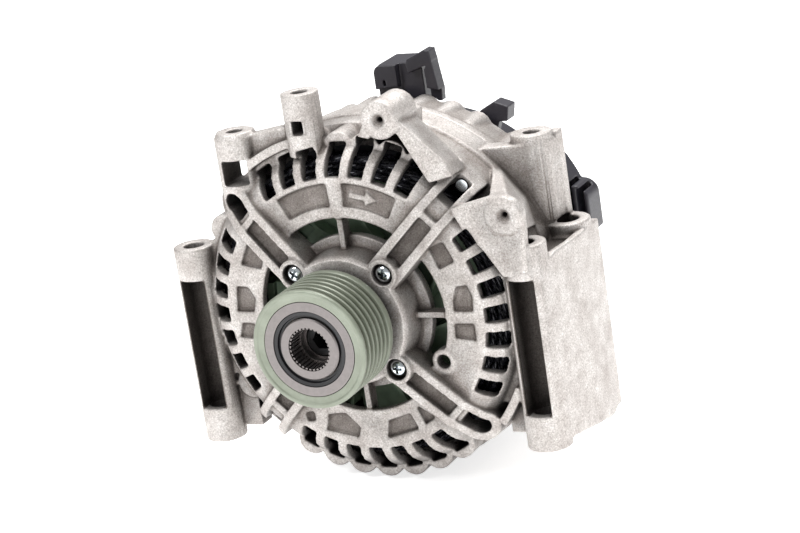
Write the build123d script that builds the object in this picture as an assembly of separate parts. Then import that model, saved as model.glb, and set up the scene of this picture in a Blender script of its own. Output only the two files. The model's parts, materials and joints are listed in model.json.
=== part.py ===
from build123d import *
import math
import os

# Car alternator with a one-way belt pulley.
# The shaft runs along Y.  The pulley is at the front (-Y), up is +Z.
# Every Y value below is measured back from the flat front face of the
# front bracket.  On export the whole set is moved so that the shaft axis
# at the belt line is the origin.

# ---------------------------------------------------------------- fits
slip_gap = 0.03          # between parts of one body
run_gap = 0.3            # between parts that turn against each other
part_gap = 0.3           # between castings, covers and coils

# -------------------------------------------------------------- pulley
pulley_r = 24.75
pulley_front = -40.2
pulley_back = -14.0
groove_count = 6
groove_pitch = 3.56
groove_depth = 2.9
groove_top_half = 1.42
groove_root_half = 0.45
groove_first = 3.1       # from the front edge of the pulley to the first groove
belt_line = pulley_front + groove_first + groove_pitch * (groove_count - 1) / 2
rim_bore_r = 19.7
race_bore_r = 14.9
hub_r = 11.9
hub_nose_lip_r = 12.9      # wider collar at the open end of the hub
hub_nose_lip = 2.6
hub_front = -39.8
hub_back = -8.6
spline_r = 9.1
spline_depth = 8.5
spline_teeth = 33
spline_tooth = 0.75
hub_step_r = 7.9
roller_r = 1.2
roller_count = 14
roller_front = -34.8
roller_back = -18.2

# ---------------------------------------------------------- rotor shaft
shaft_thread_r = 7.2
shaft_front = -28.5
shaft_front_seat_r = 8.5
shaft_core_r = 9.5
shaft_rear_seat_r = 7.5
shaft_back = 97.0
shaft_drive_r = 4.2
shaft_drive_depth = 7.0

# ------------------------------------------------------------- bearings
front_bearing_out_r = 23.5
front_bearing_y = -4.6
front_bearing_w = 14.0
rear_bearing_out_r = 17.5
rear_bearing_y = 65.0
rear_bearing_w = 11.0
rear_sleeve_t = 1.0
front_ball_count = 8
rear_ball_count = 9

# --------------------------------------------------------------- stator
stator_r = 70.0
stator_bore_r = 53.2
stator_front = 22.0
stator_back = 52.0
stator_slots = 36
slot_bottom_r = 65.0
slot_width = 5.2
slot_mouth = 2.4
slot_lip = 1.6
coil_in_r = 54.4
coil_out_r = 64.4
front_coil_front = 9.0
rear_coil_back = 65.0

# ---------------------------------------------------------------- rotor
claw_r = 52.8
claw_pairs = 6
claw_front = 22.5
claw_back = 51.5
claw_disc = 9.0
claw_root_r = 37.0
claw_root_share = 0.52    # finger width at the root, as a share of half a pole pitch
claw_tip_share = 0.20
field_out_r = 38.0
core_r = 24.0
bobbin_t = 1.2
fan_r = 47.0
fan_plate = 1.6
fan_blades = 11
front_fan_front = 13.6
rear_fan_back = 60.4

# -------------------------------------------------------- front bracket
seam_y = 46.0
face_t = 4.2
opening_r = 41.4
shoulder = ((58.6, 0.0), (62.0, 1.0), (65.4, 3.6), (68.6, 8.0), (70.9, 13.0), (72.6, 18.4))
vent_in_r = 58.2
vent_out_r = 70.6
vent_side_r = 66.8
vent_pad_r = 73.4
vent_pitch = 10.0
vent_span = 6.3
vents_per_side = 7
vent_back = 19.0
lobe_r = 6.6
lobe_centre_r = 68.2
lobe_front = 9.5
lobe_back = 24.5
barrel_r = 75.2
band_r = 76.2
band_front = 33.0
cavity_r = 69.6
ledge_r = 66.6            # the stator stands on this ledge
bolt_circle_r = 70.0
bolt_r = 2.5
bolt_relief_r = 3.4
hub_face_y = -8.4
hub_nose_r = 26.6
hub_base_r = 28.6
hub_shelf_r = 33.0
hub_shelf_y = 5.4
hub_mouth_r = 20.2
screw_xz = 20.1
screw_boss_r = 6.4
screw_recess_r = 4.5
screw_head_r = 3.7
screw_shank_r = 2.0
arm_width = 14.4
arm_rail = 3.7
arm_floor_drop = 3.6
arm_loop_r = 68.2
rib_t = 2.4
rim_in_r = 72.6
rim_out_r = 76.2
pocket_depth = 1.7
ejector_mark = (0.6, -44.4)
ejector_r = 3.7
pockets = (
    ((38.1, 28.4), (44.7, 31.0), (48.6, 22.6), (41.5, 19.3)),
    ((47.6, 12.2), (52.4, 12.8), (54.0, 8.2), (53.7, 1.9), (45.6, 1.9), (45.6, 6.6)),
    ((44.8, -3.5), (53.2, -3.5), (53.2, -10.6), (44.4, -9.6)),
    ((-43.7, 31.2), (-48.6, 21.8), (-39.6, 19.8), (-38.1, 23.4)),
    ((-52.4, 12.5), (-47.2, 12.0), (-44.6, 7.2), (-46.2, 1.4), (-54.0, 1.6)),
    ((-52.6, -3.6), (-46.6, -4.0), (-48.2, -10.8), (-54.8, -10.0)),
    ((-19.1, -43.7), (-11.2, -43.0), (-5.2, -49.2), (-6.6, -53.6), (-21.4, -50.9)),
    ((8.4, -45.8), (18.6, -42.4), (21.7, -49.1), (6.6, -53.6)),
    ((21.8, -38.6), (30.2, -43.8), (25.0, -47.0)),
    ((-30.2, -43.2), (-25.8, -42.6), (-25.7, -46.6), (-29.4, -47.2)),
)

# ------------------------------------------------------- mounting bosses
tube_x = 75.2
tube_y = 9.2
tube_r = 8.76
tube_top = 27.9
tube_bottom = -58.0
tube_hole_r = 4.4
tube_hole_low_r = 4.7
tube_relief_r = 5.4       # cored middle of the sleeve
window_top = 14.0
window_bottom = -43.0
window_half = 5.4
rear_lug_x = 77.5
rear_lug_y = 49.1
rear_lug_r = 9.93
rear_lug_hole_r = 5.1
rear_lug_top = 24.7
rear_lug_bottom = -61.0
side_plate_x = 84.0
side_plate_out = 87.3
side_plate_front = 84.4
side_plate_top = 21.5
tall_boss_x = 67.2
tall_boss_y = 49.1
tall_boss_r = 8.6
tall_boss_top = 61.6
tall_hole_r = 3.4
tall_hole_depth = 24.0
left_boss_x = -46.8
left_boss_y = 10.0
left_boss_r = 8.8
left_boss_top = 76.5
top_boss_x = -13.8
top_boss_y = 10.0
top_boss_r = 7.8
top_boss_top = 91.9
thread_r = 3.4
upper_pad_x = 24.7
upper_pad_rise = 6.0      # middle of the upper pad above the barrel radius
upper_pad_z = barrel_r + upper_pad_rise
side_pad_x = 72.8
side_pad_z = 41.5
pad_r = 7.4
upper_pad_back = 20.0
pad_dimple_r = 3.1
pad_dimple_depth = 2.2
pad_pilot_r = 1.1
pad_pilot_depth = 5.0
side_plate_t = 4.4
small_lug_r = 42.4
small_lug_deg = -27.4
small_lug_hole_r = 3.0
small_lug_out_r = 5.2

# ---------------------------------------------------------- rear bracket
rear_wall_y = 70.0
rear_wall_t = 4.6
rear_hub_r = 23.0
rear_hub_back = 77.5
rear_barrel_r = 74.4
rear_cavity_r = 65.6
rear_lobe_front = 56.0
rear_lobe_back = 71.0
rear_window_in = 25.0
rear_window_out = 46.0

# ---------------------------------------------- rectifier and regulator
fin_plate_t = 2.6
neg_plate_y = 78.4
pos_plate_y = 87.6
plate_in_r = 27.0
plate_out_r = 56.0
plate_gap_deg = 96.0
diode_r = 6.3
diode_h = 6.4
diode_ring_r = 46.0
frame_y = 83.6
frame_t = 2.4
ring_r = 7.9
ring_core_r = 6.2
front_ring_y = 80.8
rear_ring_y = 88.8
ring_w = 5.6
brush_w = 4.8
brush_len = 14.0
brush_box_w = 11.0
brush_box_top = 38.0
regulator_y = 97.4
regulator_t = 2.0
regulator_case_y = 89.8

# ------------------------------------------------------------ rear cover
cover_front = 76.4
cover_back = 103.5
cover_r = 61.0
cover_wall = 2.2
fin_out_r = 72.0
side_box_x = 73.6
side_box_top = 28.0
side_box_bottom = 7.0
side_box_front = 83.0
side_box_back = 97.0
cover_screw_angles = (-38.0, 142.0, 218.0)
cover_screw_ring = 63.6
cover_screw_r = 2.0
cover_screw_grip = 4.0
plug_x = -1.0
plug_y = 84.0
plug_z = 67.0
plug_w = 21.0
plug_d = 17.0
plug_h = 19.0
plug_nose = 4.0
plug_wall = 2.2
stud_x = -43.7
stud_z = -14.2
stud_r = 4.0
stud_back = 119.0
stud_end_r = 3.8
stud_end = 6.7

shaft_axis = Axis((0, 0, 0), (0, 1, 0))
nodes = {}


# ---------------------------------------------------------------- helpers
def at_depth(y):
    """Drawing plane facing the front, x to the right and y up."""
    return Plane(origin=(0, y, 0), x_dir=(1, 0, 0), z_dir=(0, -1, 0))


def slab(face, y0, y1):
    """A flat outline drawn in X,Z carried from depth y0 back to y1."""
    return extrude(at_depth(y1) * face, amount=y1 - y0)


def rod_y(r, y0, y1, x=0.0, z=0.0):
    return Pos(x, (y0 + y1) / 2, z) * Rot(90, 0, 0) * Cylinder(r, y1 - y0)


def rod_z(r, z0, z1, x=0.0, y=0.0):
    return Pos(x, y, (z0 + z1) / 2) * Cylinder(r, z1 - z0)


def tube_along_y(r_in, r_out, y0, y1, x=0.0, z=0.0):
    return rod_y(r_out, y0, y1, x, z) - rod_y(r_in, y0 - 1, y1 + 1, x, z)


def block(x0, x1, y0, y1, z0, z1):
    size = Box(x1 - x0, y1 - y0, z1 - z0)
    return Pos((x0 + x1) / 2, (y0 + y1) / 2, (z0 + z1) / 2) * size


def polar(r, deg):
    a = math.radians(deg)
    return (r * math.cos(a), r * math.sin(a))


def plate_of(points, y0, y1):
    """A prism whose X,Z outline is a closed run of points."""
    return slab(make_face(Polyline(*points, close=True)), y0, y1)


def wedge_face(r_in, r_out, mid, span):
    a0 = mid - span / 2
    a1 = mid + span / 2
    outer = CenterArc((0, 0), r_out, a0, span)
    inner = CenterArc((0, 0), r_in, a0, span)
    side0 = Line(polar(r_in, a0), polar(r_out, a0))
    side1 = Line(polar(r_in, a1), polar(r_out, a1))
    return make_face([outer, side1, inner, side0])


def wedge(r_in, r_out, mid, span, y0, y1):
    return slab(wedge_face(r_in, r_out, mid, span), y0, y1)


def spun(points):
    """Turn a closed (radius, depth) outline once round the shaft."""
    return revolve(make_face(Polyline(*points, close=True)), shaft_axis, 360)


def around(shape, count, start=0.0, step=None):
    """Copies of a shape turned about the shaft, positive angle toward +Z from +X."""
    step = 360.0 / count if step is None else step
    return [shape.rotate(shaft_axis, -(start + i * step)) for i in range(count)]


def vent_angles():
    half = (vents_per_side - 1) / 2
    steps = [(i - half) * vent_pitch for i in range(vents_per_side)]
    return [side + s for side in (0, 90, 180, 270) for s in steps]


def keep(name, shape):
    nodes[name] = shape


def group(shapes):
    return Compound(children=[s for s in shapes])


# ------------------------------------------------------------ one-way pulley
def build_pulley():
    body = rod_y(pulley_r, pulley_front, pulley_back)
    body = chamfer(body.edges().filter_by(GeomType.CIRCLE), 0.9)
    grooves = []
    for i in range(groove_count):
        y = pulley_front + groove_first + i * groove_pitch
        root = pulley_r - groove_depth
        rim = pulley_r + 0.4
        profile = [
            (root, y - groove_root_half),
            (rim, y - groove_top_half),
            (rim, y + groove_top_half),
            (root, y + groove_root_half),
        ]
        grooves.append(spun(profile))
    bore = rod_y(rim_bore_r, pulley_front - 1, pulley_back + 1)
    keep("pulley_rim", body - grooves - bore)

    race = tube_along_y(race_bore_r, rim_bore_r - slip_gap, pulley_front + 0.5, pulley_back)
    seal_seat = rod_y(race_bore_r + 1.0, pulley_front, pulley_front + 3.6)
    keep("clutch_outer_race", race - seal_seat)

    seal_in = hub_nose_lip_r + run_gap
    seal_out = race_bore_r + 1.0 - slip_gap
    lip = [
        (seal_in, pulley_front + 1.9),
        (seal_in + 0.7, pulley_front + 1.9),
        (seal_in + 1.0, pulley_front + 0.9),
        (seal_out - 0.3, pulley_front + 0.7),
        (seal_out, pulley_front + 1.1),
        (seal_out, pulley_front + 3.6),
        (seal_in, pulley_front + 3.6),
    ]
    keep("pulley_front_seal", spun(lip))
    rear_lip = tube_along_y(hub_r + run_gap, race_bore_r - slip_gap, pulley_back - 2.4, pulley_back)
    keep("pulley_rear_seal", rear_lip)


def build_hub():
    hub = rod_y(hub_r, hub_front, hub_back)
    nose = rod_y(hub_nose_lip_r, hub_front, hub_front + hub_nose_lip)
    nose = chamfer(nose.edges().filter_by(GeomType.CIRCLE).sort_by(Axis.Y)[0], 0.5)
    hub = hub + nose
    socket = rod_y(spline_r, hub_front - 1, hub_front + spline_depth)
    step_bore = rod_y(hub_step_r, hub_front, shaft_front + 0.5)
    thread_bore = rod_y(shaft_thread_r + slip_gap, shaft_front - 1, hub_back + 1)
    hub = hub - [socket, step_bore, thread_bore]
    tooth = block(
        spline_r - spline_tooth,
        spline_r + 0.2,
        hub_front + 0.5,
        hub_front + spline_depth,
        -0.45,
        0.45,
    )
    hub = hub + around(tooth, spline_teeth)
    keep("pulley_hub", hub)


def build_clutch_rollers():
    mid_r = (race_bore_r + hub_r) / 2
    roller = rod_y(roller_r, roller_front, roller_back, mid_r, 0)
    keep("clutch_rollers", group(around(roller, roller_count)))
    cage = tube_along_y(mid_r - 0.75, mid_r + 0.75, roller_front - 1.4, roller_back + 1.4)
    slot = rod_y(roller_r + slip_gap, roller_front - slip_gap, roller_back + slip_gap, mid_r, 0)
    keep("clutch_cage", cage - around(slot, roller_count))


# ------------------------------------------------------------------ rotor
def build_shaft():
    steps = [
        (0, shaft_front),
        (shaft_thread_r - 0.8, shaft_front),
        (shaft_thread_r, shaft_front + 0.8),
        (shaft_thread_r, hub_back),
        (shaft_front_seat_r, hub_back),
        (shaft_front_seat_r, front_fan_front - 2.4),
        (shaft_core_r, front_fan_front - 2.4),
        (shaft_core_r, rear_fan_back + 1.0),
        (shaft_rear_seat_r, rear_fan_back + 1.0),
        (shaft_rear_seat_r, rear_bearing_y + rear_bearing_w + 0.4),
        (ring_core_r - 1.2, rear_bearing_y + rear_bearing_w + 0.4),
        (ring_core_r - 1.2, shaft_back),
        (0, shaft_back),
    ]
    shaft = spun(steps)
    drive = RegularPolygon(shaft_drive_r, 6)
    shaft = shaft - slab(drive, shaft_front - 1, shaft_front + shaft_drive_depth)
    keep("rotor_shaft", shaft)


def claw_pole(front):
    """One half of the rotor iron: a disc with six tapered fingers."""
    wall = claw_disc
    if front:
        disc = tube_along_y(shaft_core_r + slip_gap, claw_root_r, claw_front, claw_front + wall)
    else:
        disc = tube_along_y(shaft_core_r + slip_gap, claw_root_r, claw_back - wall, claw_back)
    tip_y = claw_back - 1.6 if front else claw_front + 1.6
    root_y = claw_front if front else claw_back
    back_y = claw_front + wall if front else claw_back - wall
    wide = 180.0 / claw_pairs * claw_root_share
    slim = 180.0 / claw_pairs * claw_tip_share
    root_half = claw_r * math.sin(math.radians(wide))
    tip_half = claw_r * math.sin(math.radians(slim))
    plan = Polyline(
        (-root_half, root_y),
        (root_half, root_y),
        (root_half * 0.96, back_y),
        (tip_half, tip_y),
        (-tip_half, tip_y),
        (-root_half * 0.96, back_y),
        close=True,
    )
    finger = extrude(Pos(0, 0, claw_root_r - 3.0) * make_face(plan), amount=claw_r)
    low = claw_root_r + 4.6
    if front:
        under = [(0, back_y), (claw_root_r, back_y), (low, back_y + 1.5), (claw_r - 3.6, tip_y)]
        under = under + [(claw_r - 3.6, claw_back + 9), (0, claw_back + 9)]
    else:
        under = [(0, back_y), (claw_root_r, back_y), (low, back_y - 1.5), (claw_r - 3.6, tip_y)]
        under = under + [(claw_r - 3.6, claw_front - 9), (0, claw_front - 9)]
    skin = rod_y(claw_r, claw_front - 5, claw_back + 5)
    finger = (finger & skin) - spun(under)
    turn = 0.0 if front else 180.0 / claw_pairs
    fingers = around(finger, claw_pairs, turn)
    gaps = around(wedge(claw_root_r - 6.5, claw_root_r + 1, 90, 16, claw_front - 1, claw_back + 1),
                  claw_pairs, turn + 180.0 / claw_pairs)
    return (disc - gaps) + fingers


def build_rotor():
    keep("claw_pole_front", claw_pole(True))
    keep("claw_pole_rear", claw_pole(False))
    coil_y0 = claw_front + claw_disc + slip_gap
    coil_y1 = claw_back - claw_disc - slip_gap
    core = tube_along_y(shaft_core_r + slip_gap, core_r, coil_y0, coil_y1)
    keep("rotor_core", core)
    spool = [
        (core_r + slip_gap, coil_y0),
        (claw_root_r - 0.6, coil_y0),
        (claw_root_r - 0.6, coil_y0 + bobbin_t),
        (core_r + bobbin_t, coil_y0 + bobbin_t),
        (core_r + bobbin_t, coil_y1 - bobbin_t),
        (claw_root_r - 0.6, coil_y1 - bobbin_t),
        (claw_root_r - 0.6, coil_y1),
        (core_r + slip_gap, coil_y1),
    ]
    keep("field_bobbin", spun(spool))
    winding = tube_along_y(
        core_r + bobbin_t + slip_gap,
        claw_root_r - 1.2,
        coil_y0 + bobbin_t + slip_gap,
        coil_y1 - bobbin_t - slip_gap,
    )
    keep("field_winding", winding)


def fan(front):
    """A pressed fan: a ring welded to the claw pole with bent-up blades."""
    if front:
        y0 = claw_front - slip_gap - fan_plate
        y1 = claw_front - slip_gap
        blade_y0 = front_fan_front
        blade_y1 = y0 + 0.3
    else:
        y0 = claw_back + slip_gap
        y1 = claw_back + slip_gap + fan_plate
        blade_y0 = y1 - 0.3
        blade_y1 = rear_fan_back
    ring = tube_along_y(shaft_core_r + slip_gap, fan_r - 9, y0, y1)
    arc_out = CenterArc((52.0, -6.0), 26.0, 105, 55)
    arc_in = CenterArc((52.0, -6.0), 24.6, 105, 55)
    ends = [Line(arc_out @ 0, arc_in @ 0), Line(arc_out @ 1, arc_in @ 1)]
    blade = slab(make_face([arc_out, arc_in] + ends), blade_y0, blade_y1)
    foot = wedge(fan_r - 10, fan_r - 1, 17, 20, y0, y1)
    limit = rod_y(fan_r, y0 - 20, y1 + 20)
    one = (blade + foot) & limit
    return ring + around(one, fan_blades)


def build_fans():
    keep("front_fan", fan(True))
    keep("rear_fan", fan(False))


def build_slip_rings():
    y0 = rear_bearing_y + rear_bearing_w + 0.4
    y_end = rear_ring_y + ring_w + 1.2
    sleeve = tube_along_y(ring_core_r - 1.2 + slip_gap, ring_core_r, y0 + slip_gap, y_end)
    collar = tube_along_y(ring_core_r - 0.2, ring_r, front_ring_y + ring_w, rear_ring_y)
    front_lip = tube_along_y(ring_core_r - 0.2, ring_r, front_ring_y - 1.4, front_ring_y)
    keep("slip_ring_insulator", sleeve + [collar, front_lip])
    rings = []
    for y in (front_ring_y, rear_ring_y):
        rings.append(tube_along_y(ring_core_r + slip_gap, ring_r, y + slip_gap, y + ring_w - slip_gap))
    keep("slip_rings", group(rings))


def bearing(prefix, out_r, bore_r, y0, width, ball_count):
    """Deep-groove ball bearing: two races, balls and a snap cage."""
    y1 = y0 + width
    y_mid = (y0 + y1) / 2
    depth = out_r - bore_r
    pitch_r = (out_r + bore_r) / 2
    ball = depth * 0.26
    groove = Pos(0, y_mid, 0) * Rot(90, 0, 0) * Torus(pitch_r, ball + run_gap)
    land = depth * 0.17
    outer = tube_along_y(pitch_r + land, out_r, y0, y1) - groove
    inner = tube_along_y(bore_r + slip_gap, pitch_r - land, y0, y1) - groove
    keep(prefix + "_outer_race", outer)
    keep(prefix + "_inner_race", inner)
    one = Pos(pitch_r, y_mid, 0) * Sphere(ball)
    keep(prefix + "_balls", group(around(one, ball_count)))
    cage_half = ball + 0.9
    cage = tube_along_y(pitch_r - land + run_gap, pitch_r + land - run_gap,
                        y_mid - cage_half, y_mid + cage_half)
    pocket = Pos(pitch_r, y_mid, 0) * Rot(0, 90, 0) * Cylinder(ball + slip_gap, depth)
    keep(prefix + "_cage", cage - around(pocket, ball_count))


def build_bearings():
    bearing("front_bearing", front_bearing_out_r - slip_gap, shaft_front_seat_r,
            front_bearing_y, front_bearing_w, front_ball_count)
    bearing("rear_bearing", rear_bearing_out_r - slip_gap, shaft_rear_seat_r,
            rear_bearing_y, rear_bearing_w, rear_ball_count)
    collar = tube_along_y(shaft_front_seat_r + slip_gap, shaft_front_seat_r + 4.0,
                          hub_back, front_bearing_y)
    keep("shaft_collar", collar)
    sleeve_r = rear_bearing_out_r + rear_sleeve_t
    sleeve = tube_along_y(rear_bearing_out_r, sleeve_r, rear_bearing_y, rear_bearing_y + rear_bearing_w)
    keep("rear_bearing_sleeve", sleeve)


# ------------------------------------------------------------------ stator
def build_stator():
    core = tube_along_y(stator_bore_r, stator_r, stator_front, stator_back)
    cut_y0 = stator_front - 1
    cut_y1 = stator_back + 1
    half = slot_width / 2
    mouth = slot_mouth / 2
    lip_r = stator_bore_r + slot_lip
    outline = [
        (stator_bore_r - 1, -mouth),
        (lip_r, -mouth),
        (lip_r, -half),
        (slot_bottom_r, -half * 1.1),
        (slot_bottom_r, half * 1.1),
        (lip_r, half),
        (lip_r, mouth),
        (stator_bore_r - 1, mouth),
    ]
    slot = plate_of(outline, cut_y0, cut_y1)
    notch = rod_y(bolt_relief_r, cut_y0, cut_y1, bolt_circle_r, 0)
    core = core - around(slot, stator_slots) - around(notch, 4, 45)
    keep("stator_core", core)

    bar_half = half - 0.35
    bar = block(lip_r + 0.4, slot_bottom_r - 0.4, stator_front - 0.2, stator_back + 0.2, -bar_half, bar_half)
    bars = around(bar, stator_slots)
    front_turns = spun([
        (coil_in_r + 1.5, front_coil_front),
        (coil_out_r - 2.0, front_coil_front),
        (coil_out_r, front_coil_front + 3.0),
        (coil_out_r, stator_front - slip_gap),
        (coil_in_r, stator_front - slip_gap),
        (coil_in_r, front_coil_front + 3.0),
    ])
    rear_turns = spun([
        (coil_in_r, stator_back + slip_gap),
        (coil_out_r, stator_back + slip_gap),
        (coil_out_r, rear_coil_back - 3.0),
        (coil_out_r - 2.0, rear_coil_back),
        (coil_in_r + 1.5, rear_coil_back),
        (coil_in_r, rear_coil_back - 3.0),
    ])
    keep("stator_winding", front_turns + bars + [rear_turns])


# ------------------------------------------------------------ front bracket
def arm_side(drop):
    """Side view of one arm, lying along +X: a sloping beam from hub to rim."""
    return make_face(Polyline(
        (hub_nose_r - 3, hub_face_y + 1.2 + drop),
        (opening_r, -5.2 + drop),
        (vent_in_r, -2.6 + drop),
        (68.0, 2.6 + drop),
        (barrel_r - 1.2, 9.0 + drop * 0.3),
        (barrel_r, 22.0),
        (60.0, 13.0),
        (opening_r + 4, 8.6),
        (hub_base_r - 1, 8.6),
        close=True,
    ))


def arm_rails():
    face = arm_side(0.0)
    offset_z = arm_width / 2 - arm_rail / 2
    return [Pos(0, 0, s * offset_z) * extrude(face, amount=arm_rail / 2, both=True) for s in (-1, 1)]


def arm_floor():
    return extrude(arm_side(arm_floor_drop), amount=arm_width / 2 - 0.6, both=True)


def arm_loop():
    """Round end that closes the channel of the upper left and lower right arms."""
    x = arm_loop_r
    half = arm_width / 2
    ring = rod_y(half + 0.4, 2.6, 17.0, x, 0)
    fall = Pos(x + 3.0, 1.0, 0) * Rot(0, 0, 24) * Box(26, 7.0, 20)
    return (ring & rod_y(barrel_r + 0.6, 0, 22)) - fall


def right_column(grow=0.0):
    """The rear sleeve and the tall boss that stand outside the barrel."""
    base = rear_lug_top - 6
    lug = rod_z(rear_lug_r + grow, rear_lug_bottom - grow, rear_lug_top + grow, rear_lug_x, rear_lug_y)
    tall = rod_z(tall_boss_r + grow, base - grow, tall_boss_top + grow, tall_boss_x, tall_boss_y)
    plan = make_face(Polyline(
        (46, 36),
        (60, 39),
        (68, 40.6),
        (76, 45),
        (77, 57),
        (70, 57.5),
        (64, 52),
        (64, seam_y - 0.4),
        (46, seam_y - 0.4),
        close=True,
    ))
    if grow > 0:
        plan = offset(plan, grow)
    flare = extrude(Plane.XY.offset(base - grow) * plan, amount=tall_boss_top - 3.2 - base + 2 * grow)
    corner = block(73 - grow, 77.4 + grow, 52 - grow, 57.6 + grow, base - grow, tall_boss_top - 1 + grow)
    return [lug, tall, flare, corner]


def vent_reach(a):
    """Outer end of a front vent: short beside the sleeves, long under the upper pad."""
    side = abs(math.cos(math.radians(a)))
    if side > 0.8:
        return vent_side_r
    if 68 < a < 82:
        return vent_pad_r
    return vent_out_r


def by_pad(dx, dz):
    """A point of the front face, measured from the middle of the upper pad."""
    return (upper_pad_x + dx, upper_pad_z + dz)



def build_front_bracket():
    shell = spun([(opening_r, 0)] + list(shoulder) + [
        (barrel_r, 22.5),
        (barrel_r, band_front),
        (band_r, band_front),
        (band_r, seam_y),
        (stator_r - 1, seam_y),
        (stator_r - 1, stator_front),
        (ledge_r - 0.3, stator_front),
        (ledge_r - 0.3, vent_back),
        (cavity_r + 0.7, vent_back),
        (cavity_r - 1.0, vent_back - 5),
        (cavity_r - 4.6, face_t + 4.4),
        (cavity_r - 10.0, face_t),
        (opening_r, face_t),
    ])
    hub_end = front_bearing_y + front_bearing_w
    hub = spun([
        (hub_mouth_r - 1, hub_face_y),
        (hub_nose_r, hub_face_y),
        (hub_nose_r + 0.8, hub_face_y + 2.0),
        (hub_base_r, hub_shelf_y - 1.0),
        (hub_shelf_r, hub_shelf_y),
        (hub_shelf_r, hub_end),
        (hub_mouth_r - 1, hub_end),
    ])
    solids = [hub]
    for a in vent_angles():
        x, z = polar(lobe_centre_r, a)
        solids.append(rod_y(lobe_r, lobe_front, lobe_back, x, z))
    for part in arm_rails() + [arm_floor()]:
        solids = solids + around(part, 4, 45)
    solids = solids + around(arm_loop(), 2, 135)
    cross = block(56.0, 59.0, -2.0, 8.0, -arm_width / 2 + 1, arm_width / 2 - 1)
    solids = solids + around(cross, 4, 45)
    # raised rim from the upper left arm over the top vents, and its twin low on the right
    for mid, span in ((115.5, 21), (-33.0, 14)):
        solids.append(wedge(rim_in_r, rim_out_r, mid, span, 4.6, 20.0))
    rib = block(hub_nose_r - 2, opening_r + 2, 0.6, 7.0, -rib_t / 2, rib_t / 2)
    solids = solids + around(rib, 4)
    boss = rod_y(screw_boss_r, hub_face_y, front_bearing_y + front_bearing_w)
    for sx in (-1, 1):
        for sz in (-1, 1):
            solids.append(Pos(sx * screw_xz, 0, sz * screw_xz) * boss)
    lug_x, lug_z = polar(small_lug_r, small_lug_deg)
    solids.append(rod_y(small_lug_out_r, -0.6, face_t + 1.5, lug_x, lug_z))

    # front bolt sleeves, one each side, and the plates that carry them
    solids.append(rod_z(tube_r, tube_bottom, tube_top, -tube_x, tube_y))
    solids.append(rod_z(tube_r + 0.5, tube_bottom, tube_top, tube_x, tube_y))
    solids.append(block(-tube_x, -58, tube_y + 2.0, 20.0, -54, 24))
    solids.append(block(58, tube_x, tube_y + 2.0, 20.0, -54, 24))

    # right-hand side: skin plate, shelf, rear sleeve and the tall boss
    skin = extrude(Plane.YZ.offset(side_plate_x - 3.4) * make_face(Polyline(
        (tube_y, tube_bottom + 3),
        (tube_y, side_plate_top - 2),
        (tube_y + 8, side_plate_top),
        (rear_lug_y, side_plate_top),
        (rear_lug_y + rear_lug_r, side_plate_top),
        (rear_lug_y + rear_lug_r, rear_lug_bottom + 2),
        (rear_lug_y - 6, rear_lug_bottom + 1),
        close=True,
    )), amount=side_plate_out - side_plate_x + 3.4)
    plan = make_face(Polyline(
        (side_plate_front - 3.4, tube_y),
        (side_plate_front, tube_y),
        (side_plate_out, tube_y + 26),
        (side_plate_out, rear_lug_y + rear_lug_r),
        (side_plate_x, rear_lug_y + rear_lug_r),
        (side_plate_x, tube_y + 20),
        close=True,
    ))
    solids.append(skin & extrude(Plane.XY.offset(tube_bottom - 5) * plan, amount=120))
    solids.append(block(60, side_plate_x + 1, 18, seam_y, 14.5, 18.5))
    solids.append(block(62, side_plate_x + 1, 38, seam_y, -58, 20))
    solids = solids + right_column()

    # upper pads and the walls that brace them
    solids.append(rod_y(pad_r + 0.6, 0.8, upper_pad_back, upper_pad_x, upper_pad_z))
    solids.append(rod_y(pad_r, 0, 2, upper_pad_x, upper_pad_z))
    foot = [by_pad(-7.1, 2.8), by_pad(7.7, -1.2), polar(barrel_r - 2.7, 65.6), polar(barrel_r - 3.4, 77.1)]
    solids.append(plate_of(foot, vent_back - 4, upper_pad_back + 6))
    wall = [by_pad(-7.8, 1.2), by_pad(-3.4, -4.9), polar(barrel_r - 0.9, 77.2), polar(barrel_r - 0.7, 80.8)]
    solids.append(plate_of(wall, 5.0, upper_pad_back + 2))
    rib_front = make_face(Polyline(
        by_pad(5.1, 2.2),
        by_pad(8.7, -1.6),
        polar(barrel_r + 5.5, 51.3),
        polar(barrel_r + 2.7, 47.5),
        polar(barrel_r - 6.2, 52.6),
        by_pad(6.3, -5.8),
        close=True,
    ))
    rib_back = make_face(Polyline(
        by_pad(5.1, -0.8),
        by_pad(7.7, -3.8),
        polar(barrel_r + 1.6, 51.9),
        polar(barrel_r - 0.3, 48.1),
        polar(barrel_r - 5.4, 52.9),
        by_pad(6.0, -9.2),
        close=True,
    ))
    solids.append(loft([at_depth(1.6) * rib_front, at_depth(20.0) * rib_back]))
    solids.append(rod_y(pad_r, -0.5, side_plate_t, side_pad_x, side_pad_z))
    side_plate = [(50, 44.5), (66, 48.6), (74, 49.4), (80.8, 43), (79.6, 19)]
    side_plate = side_plate + [(69, 16), (62, 27), (54, 36)]
    solids.append(plate_of(side_plate, 0.0, side_plate_t))
    near_pad = [(66, 48.4), (74, 49), (79.6, 43), (78.4, 34), (75.0, 33), (69, 44)]
    on_barrel = [(54, 52), (57, 50), (66, 38), (70, 26), (66, 26), (52, 48)]
    brace = loft([
        at_depth(3.6) * make_face(Polyline(*near_pad, close=True)),
        at_depth(38.0) * make_face(Polyline(*on_barrel, close=True)),
    ])
    solids.append(brace)

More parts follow.
